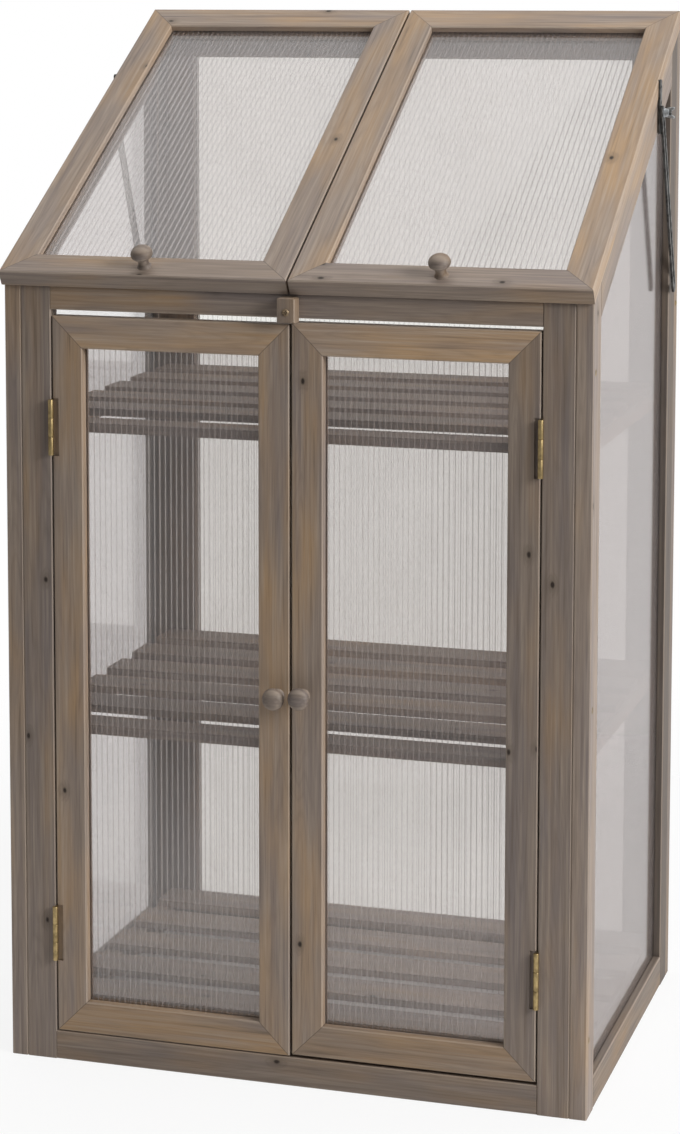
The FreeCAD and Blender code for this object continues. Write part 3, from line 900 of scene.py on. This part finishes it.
@dataclass(frozen=True)
class ScrewHead:
    """The head of a cross-head screw: flat or domed, with a cross punched into it.

    Its radius, how far its middle stands over its rim, how far it goes on below its rim, and its sides.
    """

    radius: float
    crown: float
    skirt: float
    sides: int = 20

    def shell(self) -> Shell:
        """The head, whose rim is at w = 0.

        Its height is crown (1 - s^2) less the cross, where s is the share of the radius. The cross is a product
        of two smooth steps: along its arms, and across them.

        Returns:
            The head.
        """
        share = np.array([1.0, 0.92, 0.78, 0.62, 0.46, 0.30, 0.16, 0.06])[:, None]
        turn = full_turn(self.sides)[None, :]
        u = share * np.cos(turn)
        v = share * np.sin(turn)
        near, far = np.minimum(abs(u), abs(v)), np.maximum(abs(u), abs(v))
        cross = np.clip((0.17 - near) / 0.07, 0.0, 1.0) * np.clip((0.62 - far) / 0.12, 0.0, 1.0)
        height = self.crown * (1.0 - share**2) - 0.275 * self.radius * cross
        top = np.stack([self.radius * u, self.radius * v, height], axis=-1)
        foot = top[:1] * (1.0, 1.0, 0.0) + (0.0, 0.0, -self.skirt)
        return carried(np.concatenate([foot, top]))


HINGE_SCREW = ScrewHead(2.6, 0.12, 0.3)
STRAP_SCREW = ScrewHead(2.7, 0.9, 0.3)
PIVOT_SCREW = ScrewHead(3.75, 1.7, 0.0)
FRAME_SCREW = ScrewHead(3.6, 0.25, 0.3)
STAY_STOP_SCREW = ScrewHead(3.4, 1.4, 0.2)


@dataclass
class ButtHinges:
    """Three-knuckle butt hinges: pressed leaves, rolled knuckles and a pin with small domed ends.

    Each screw's place is a share of the length and a distance from the barrel.
    """

    length: float = 58.0
    leaf_width: float = 16.0
    leaf_thickness: float = 0.7
    arris: float = 0.15
    barrel_radius: float = 2.74
    barrel_gap: float = 0.1
    tongue_lap: float = 0.6
    pin_head_radius: float = 1.62
    pin_head_rise: float = 0.35
    pin_end: float = 0.3
    pin_stand_off: float = 3.2
    clearance: float = 0.35
    door_heights: tuple[float, float] = (139.0, 676.0)
    door_pin_x: float = 258.25
    door_seat: float = 0.75
    lid_insets: tuple[float, float] = (63.0, 249.0)
    screws: tuple[tuple[float, float], ...] = ((-0.36, 5.0), (0.0, 8.2), (0.36, 5.0))
    sides: int = 28

    def knuckle(self, low: float, high: float) -> Shell:
        """A rolled knuckle, its ends eased by a quarter circle.

        Args:
            low: where it begins along the pin.
            high: where it ends.

        Returns:
            The knuckle, with the pin on the w axis.
        """
        turn = quarter(4)
        ease = 0.3
        radius = self.barrel_radius - ease * (1.0 - np.sin(turn))
        rise = ease * (1.0 - np.cos(turn))
        return lathe(np.concatenate([radius, radius[::-1]]), np.concatenate([low + rise, high - rise[::-1]]),
                     self.sides)

    def leaf(self, seat: float, knuckles: Sequence[tuple[float, float]]) -> list[Shell]:
        """One leaf with its knuckles and the screws that hold it.

        Args:
            seat: how far its back is from the pin.
            knuckles: where its knuckles begin and end along the pin.

        Returns:
            The plate, the knuckles and the screw heads, with the pin on the w axis.
        """
        half, front = self.length / 2.0, seat - self.leaf_thickness
        place = facing((0.0, 0.0, 0.0), Y, Z)
        outline = rectangle(self.barrel_radius + self.barrel_gap, self.leaf_width, -half, half)
        shells = [plate(outline, front, seat, self.arris).placed(place)]
        for low, high in knuckles:
            tongue = rectangle(0.0, self.barrel_radius + self.tongue_lap, low, high)
            shells += [plate(tongue, front, seat, self.arris).placed(place), self.knuckle(low, high)]
        head = HINGE_SCREW.shell()
        for share, across in self.screws:
            middle = (front, self.barrel_radius + across, share * self.length)
            shells.append(head.placed(facing(middle, Z, Y)))
        return shells

    def pair(self, seat: float) -> tuple[Shell, Shell]:
        """Both leaves of one hinge.

        Args:
            seat: how far the leaves' backs are from the pin.

        Returns:
            The frame's leaf with the pin, and the moving leaf.
        """
        half, middle, gap = self.length / 2.0, self.length / 6.0, self.clearance
        outer = ((-half, -middle - gap), (middle + gap, half))
        turn = quarter(5)[:-1]
        radius = self.pin_head_radius * np.cos(turn)
        height = half - self.pin_end + self.pin_head_rise * np.sin(turn)
        pin = lathe(np.concatenate([radius[::-1], radius]), np.concatenate([-height[::-1], height]), self.sides)
        return joined(self.leaf(seat, outer) + [pin]), joined(self.leaf(seat, ((-middle, middle),)))

    def build(self) -> None:
        """Hangs the doors and the lids."""
        frame_leaf, moving_leaf = self.pair(self.door_seat)
        pins = [(self.door_pin_x, -self.pin_stand_off, height) for height in self.door_heights]
        on_stile = joined(frame_leaf.placed(facing(pin, X, Y)) for pin in pins)
        on_door = joined(moving_leaf.placed(facing(pin, -X, Y)) for pin in pins)
        lower = Matrix.Translation((0.0, 0.0, -CABINET.left_drop))

        frame_leaf, moving_leaf = self.pair(self.pin_stand_off)
        rise = self.pin_stand_off * math.tan(math.atan(CABINET.slope) / 2.0)
        pins = [(across, CABINET.depth + self.pin_stand_off, CABINET.rear_height + rise)
                for across in self.lid_insets]
        down, out = -CABINET.up_slope, X.cross(CABINET.up_slope)
        on_back = joined(frame_leaf.placed(facing(pin, -Y, -Z)) for pin in pins)
        on_lid = joined(moving_leaf.placed(facing(pin, down, out)) for pin in pins)

        brass = BRASS.material("brass_plated_steel")
        for node, leaves, body in (
            ("door_hinge_frame_leaves", joined([on_stile, on_stile.mirrored().placed(lower)]), "cabinet"),
            ("right_door_hinge_leaves", on_door, "right_door"),
            ("left_door_hinge_leaves", on_door.mirrored().placed(lower), "left_door"),
            ("lid_hinge_frame_leaves", on_back.paired(), "cabinet"),
            ("right_lid_hinge_leaves", on_lid, "right_lid"),
            ("left_lid_hinge_leaves", on_lid.mirrored(), "left_lid"),
        ):
            show(node + "_pressed", leaves, body, "brass", brass, node)


@dataclass
class LidStays:
    """On each lid's edge a strap with a bolt, a slotted bar that hangs from it, and a wing nut."""

    bracket_width: float = 12.0
    bracket_thickness: float = 2.0
    bracket_tail: float = 23.0
    bracket_top: float = 35.5
    bracket_corner: float = 2.6
    bracket_screws: tuple[float, float] = (11.0, 28.0)
    setback: float = 325.0
    height: float = 992.96
    bolt_radius: float = 2.5
    thread_depth: float = 0.09
    thread_pitch: float = 0.8
    bar_width: float = 15.0
    bar_thickness: float = 2.5
    bar_length: float = 218.0
    bar_lean: float = 22.7
    slot_margin: float = 12.0
    slot_radius: float = 2.56
    play: float = 0.3
    nut_base: float = 5.2
    nut_top: float = 3.9
    nut_height: float = 6.0
    bolt_tip: float = 2.5

    def bracket(self) -> Shell:
        """The strap with eased corners, its two screws, and the bolt with its thread as fine grooves.

        Returns:
            The bracket, with the bolt on the w axis. The thread is r = R - d (1 + cos(2 pi h / pitch)).
        """
        half = self.bracket_width / 2.0
        corner = self.bracket_corner
        # Anticlockwise from the top right, a quarter circle about each centre.
        centres = rectangle(half - corner, corner - half, self.bracket_top - corner, corner - self.bracket_tail)
        turn = quarter(5) + np.arange(4)[:, None] * math.pi / 2.0
        outline = centres[:, None] + corner * np.stack([np.cos(turn), np.sin(turn)], axis=-1)
        strap = plate(outline.reshape(-1, 2), 0.0, self.bracket_thickness, 0.35)
        reach = self.bracket_thickness + 2.0 * self.play + self.bar_thickness + self.nut_height + self.bolt_tip
        along = np.linspace(self.bracket_thickness - 0.2, reach - 0.5, 61)
        wave = 1.0 + np.cos(2.0 * math.pi * (along - along[0]) / self.thread_pitch)
        radius = np.append(self.bolt_radius - self.thread_depth * wave, self.bolt_radius - 0.6)
        bolt = lathe(radius, np.append(along, reach), 24)
        head = STRAP_SCREW.shell()
        screws = [head.placed(Matrix.Translation((0.0, up, self.bracket_thickness)))
                  for up in self.bracket_screws]
        return joined([strap, bolt] + screws)

    def bar(self) -> Shell:
        """The slotted bar, leaning as it hangs.

        Returns:
            The bar, with the bolt on the w axis.
        """
        half = self.bar_width / 2.0
        outer = stadium(half - self.bar_length, half, 14)
        inner = stadium(self.slot_margin - self.bar_length, self.slot_radius, 14)
        low = self.bracket_thickness + self.play
        flat = slotted_bar(outer, inner, low, low + self.bar_thickness, 0.3)
        return flat.placed(Matrix.Rotation(math.radians(self.bar_lean), 4, "Z"))

    def nut(self) -> Shell:
        """The wing nut: a tapered hub, and two thumb-shaped wings that widen and lean outwards as they rise.

        Returns:
            The nut, with the bolt on the w axis.
        """
        low = self.bracket_thickness + 2.0 * self.play + self.bar_thickness
        rise = np.linspace(0.0, 1.0, 7)
        taper = self.nut_base + (self.nut_top - self.nut_base) * rise
        radius = np.array([self.nut_base - 0.4, *taper, self.nut_top - 0.5, self.bolt_radius + 0.1])
        height = np.array([0.0, *(0.3 + (self.nut_height - 0.6) * rise), self.nut_height, self.nut_height])
        hub = lathe(radius, height, 28)
        # A wing is an ellipse carried up a line that leans out; its half width grows, then closes over the tip.
        step = np.linspace(0.0, 1.0, 14)
        turn = full_turn(14)
        middle = 2.9 + 0.9 * step + 1.2 * step**2
        level = np.repeat(0.6 + 11.2 * step[:, None], len(turn), axis=1)
        closing = np.sqrt(np.clip(1.02 - step**6, 0.0, 1.0))
        half = (1.1 + 1.0 * np.sin(math.pi * np.clip(step, 0.0, 0.5))) * closing
        thick = 0.75 * np.sqrt(np.clip(1.02 - step**8, 0.0, 1.0))
        wing = carried(np.stack([middle[:, None] + half[:, None] * np.cos(turn), thick[:, None] * np.sin(turn),
                                 level], axis=-1))
        wings = [wing.placed(Matrix.Rotation(angle, 4, "Z")) for angle in (math.pi / 2.0, -math.pi / 2.0)]
        return joined([hub] + wings).placed(Matrix.Translation((0.0, 0.0, low)))

    def build(self) -> None:
        """Fits both stays."""
        steel = DARK_STEEL.material("blackened_steel")
        zinc = ZINC.material("dulled_zinc_plated_steel")
        place = facing((CABINET.lid_outer, self.setback, self.height), Y, Z)
        pieces = (
            ("_lid_stay_bracket", self.bracket().placed(place), "_lid", steel),
            ("_stay_bar", self.bar().placed(place), "_stay", steel),
            ("_wing_nut", self.nut().placed(place), "_wing_nut", zinc),
        )
        for side, sign, _ in SIDES:
            for part, shell, body, material in pieces:
                own = shell if sign > 0.0 else shell.mirrored()
                show(side + part + "_pressed", own, side + body, "dark_steel", material, side + part)


@dataclass
class TurnButton:
    """The stained block that holds both doors shut, and the screw it turns on."""

    height: float = 803.0
    thickness: float = 15.5
    rim_height: float = 0.5

    def build(self) -> None:
        """Coats the block and puts a cross-head screw in it."""
        finish = StainedFir(Grain.UPRIGHT, warmth=0.20, tone=0.84, knots=0.0)
        coat("turn_button", finish.material("turn_button"))
        radius = np.full(2, PIVOT_SCREW.radius)
        rim = lathe(radius, np.array([0.0, self.rim_height]), PIVOT_SCREW.sides)
        head = PIVOT_SCREW.shell().placed(Matrix.Translation((0.0, 0.0, self.rim_height - 0.05)))
        place = facing((0.0, -self.thickness, self.height), X, Z)
        show("turn_button_screw_turned", joined([rim, head]).placed(place), "cabinet", "brass",
             DULLED_BRASS.material("dulled_brass_screw"), "turn_button_screw")


@dataclass
class FrameScrews:
    """The screws that hold the carcass together, and the nails of the slats."""

    side_heights: tuple[float, ...] = (80.0, 416.0, 752.0)
    back_heights: tuple[float, ...] = (60.0, 400.0, 740.0, 1040.0)
    stay_stop_height: float = 775.0
    slat_count: int = 5
    slat_first: float = 68.0
    slat_pitch: float = 79.5
    slat_width: float = 48.0
    shelf_tops: tuple[float, ...] = (48.0, 366.0, 685.0)
    stile_middle: float = 9.0
    nail_radius: float = 1.6
    nail_crown: float = 0.35
    nail_across: float = 283.0
    nail_spread: float = 12.0

    def build(self) -> None:
        """Drives them all."""
        half = CABINET.width / 2.0
        head = FRAME_SCREW.shell()
        screws = [head.placed(facing((half, self.stile_middle, height), Y, Z)) for height in self.side_heights]
        stop = (half, CABINET.depth - self.stile_middle, self.stay_stop_height)
        screws.append(STAY_STOP_SCREW.shell().placed(facing(stop, Y, Z)))
        for height in self.back_heights:
            screws.append(head.placed(facing((half - self.stile_middle, CABINET.depth, height), -X, Z)))
        show("frame_screws", joined(screws).paired(), "cabinet", "zinc_steel",
             YELLOW_STEEL.material("yellow_passivated_steel"))

        turn = quarter(4)[:-1]
        radius = np.array([self.nail_radius, *(self.nail_radius * np.cos(turn)), 0.05])
        height = np.array([-0.3, *(self.nail_crown * np.sin(turn)), self.nail_crown])
        nail = lathe(radius, height, 12)
        nails: list[Shell] = []
        for top in self.shelf_tops:
            for number in range(self.slat_count):
                middle = self.slat_first + number * self.slat_pitch + self.slat_width / 2.0
                for along in (middle - self.nail_spread, middle + self.nail_spread):
                    nails.append(nail.placed(Matrix.Translation((self.nail_across, along, top))))
        show("slat_nails", joined(nails).paired(), "cabinet", "zinc_steel", ZINC.material("zinc_plated_nails"))


# The studio


@dataclass
class Studio:
    """A pale floor, a white surround, soft lamps and the photograph's camera."""

    camera_place: tuple[float, float, float] = (858.1, -2661.5, 1116.1)
    yaw: float = 16.849
    pitch: float = 5.825
    roll: float = 0.075
    lens: float = 89.22
    shift: float = -0.25
    room_level: float = 0.30
    soft_level: float = 0.72
    floor_radius: float = 2.6
    floor_fade: tuple[float, float] = (0.7, 1.7)
    floor_lift: float = 0.84
    lift_edge: tuple[float, float] = (-16.0, -4.0)
    surround: str = "#FFFFFF"
    floor: str = "#F4F4F4"

    def camera(self) -> None:
        """Stands the camera where the photograph was taken from."""
        data = bpy.data.cameras.new("photograph")
        data.lens = self.lens
        data.sensor_width = 36.0
        data.shift_y = self.shift
        data.clip_end = 60.0
        turned = Euler((math.radians(90.0 - self.pitch), 0.0, math.radians(self.yaw))).to_matrix()
        rolled = Matrix.Rotation(math.radians(self.roll), 3, "Z")
        camera = bpy.data.objects.new("photograph_camera", data)
        camera.matrix_world = (turned @ rolled).to_4x4()
        camera.location = (Vector(self.camera_place) + Vector((0.0, ROW_FRONT, 0.0))) * MM
        bpy.context.scene.collection.objects.link(camera)
        bpy.context.scene.camera = camera

    def world(self) -> None:
        """A white cyclorama round the object and a dimmer room behind the camera, which sees plain white."""
        world = bpy.data.worlds.new("studio")
        add = emptied(world)
        path = add("LightPath")
        way = add("SeparateXYZ", {0: add("TexCoord").outputs["Generated"]})
        room = add("MapRange", {"Value": way.outputs["Y"], "From Min": -0.5, "From Max": 0.35,
                                "To Min": self.room_level, "To Max": 1.0}, interpolation_type="SMOOTHSTEP")
        mirror = add("Math", {0: path.outputs["Is Glossy Ray"], 1: path.outputs["Is Transmission Ray"]},
                     operation="MAXIMUM")
        scale = add("Mix", {0: mirror, "A": self.soft_level, "B": 1.0}, data_type="FLOAT")
        level = add("Math", {0: room, 1: scale}, operation="MULTIPLY")
        soft = add("Background", {"Color": linear(self.surround), "Strength": level})
        white = add("Background", {"Color": linear(self.surround), "Strength": 1.0})
        shown = add("MixShader", {0: path.outputs["Is Camera Ray"], 1: soft, 2: white})
        add("OutputWorld", {"Surface": shown})
        bpy.context.scene.world = world

    def ground(self) -> None:
        """A round pale floor that fades into the surround, and keeps the object's shadow."""
        turn = full_turn(96)
        points = self.floor_radius * np.stack([np.cos(turn), np.sin(turn), 0.0 * turn], axis=-1)
        mesh = bpy.data.meshes.new("floor")
        mesh.from_pydata(points.tolist(), [], [tuple(range(len(turn)))])
        material = bpy.data.materials.new("matt_white_paper")
        add = emptied(material)
        coordinates = add("TexCoord")
        away = add("VectorMath", {0: coordinates.outputs["Object"]}, operation="LENGTH")
        fade = add("MapRange", {"Value": away.outputs["Value"], "From Min": self.floor_fade[0],
                                "From Max": self.floor_fade[1]}, interpolation_type="SMOOTHSTEP")
        path = add("LightPath")
        flat = add("SeparateXYZ", {0: coordinates.outputs["Object"]})
        middle = (ROW_FRONT + CABINET.depth / 2.0) * MM
        from_middle = add("Math", {0: flat.outputs["Y"], 1: middle}, operation="SUBTRACT")
        beyond = []
        for source, half in ((flat.outputs["X"], CABINET.width / 2.0), (from_middle, CABINET.depth / 2.0)):
            reach = add("Math", {0: source}, operation="ABSOLUTE")
            beyond.append(add("Math", {0: reach, 1: half * MM}, operation="SUBTRACT"))
        edge = add("Math", {0: beyond[0], 1: beyond[1]}, operation="MAXIMUM")
        clear = add("MapRange", {"Value": edge, "From Min": self.lift_edge[0] * MM,
                                 "From Max": self.lift_edge[1] * MM, "To Max": self.floor_lift})
        lift = add("Math", {0: path.outputs["Is Camera Ray"], 1: clear}, operation="MULTIPLY")
        paper = add("BsdfDiffuse", {"Color": linear(self.floor)})
        glow = add("Emission", {"Color": linear(self.surround), "Strength": 1.0})
        lit = add("MixShader", {0: lift, 1: paper, 2: glow})
        gone = add("BsdfTransparent")
        add("OutputMaterial", {"Surface": add("MixShader", {0: fade, 1: lit, 2: gone})})
        mesh.materials.append(material)
        floor = bpy.data.objects.new("floor", mesh)
        floor.location.z = -0.0002
        bpy.context.scene.collection.objects.link(floor)

    def lamps(self) -> None:
        """A broad key from the right and above, and a soft top."""
        aim = Vector((0.0, 0.0, 0.55))
        for name, place, size, power in (
            ("key_softbox", (3.6, -1.4, 2.2), 1.7, 140.0),
            ("top_softbox", (0.0, -0.2, 3.4), 2.2, 22.0),
        ):
            data = bpy.data.lights.new(name, "AREA")
            data.energy = power
            data.size = size
            lamp = bpy.data.objects.new(name, data)
            lamp.location = place
            lamp.rotation_euler = (aim - Vector(place)).to_track_quat("-Z", "Y").to_euler()
            bpy.context.scene.collection.objects.link(lamp)

    def build(self) -> None:
        """Sets the studio up."""
        scene = bpy.context.scene
        scene.view_settings.view_transform = "Standard"
        # A look through a door and the back passes up to a dozen walls of the clear sheets.
        scene.cycles.transparent_max_bounces = 48
        self.camera()
        self.world()
        self.ground()
        self.lamps()


def main() -> None:
    """Builds the studio and dresses every assembly in order."""
    logging.basicConfig(level=logging.INFO, format="%(name)s: %(message)s")
    Studio().build()
    Carcass().dress()
    MitredFrames().dress()
    Knobs().build()
    ButtHinges().build()
    LidStays().build()
    TurnButton().build()
    FrameScrews().build()


if __name__ == "__main__":
    main()
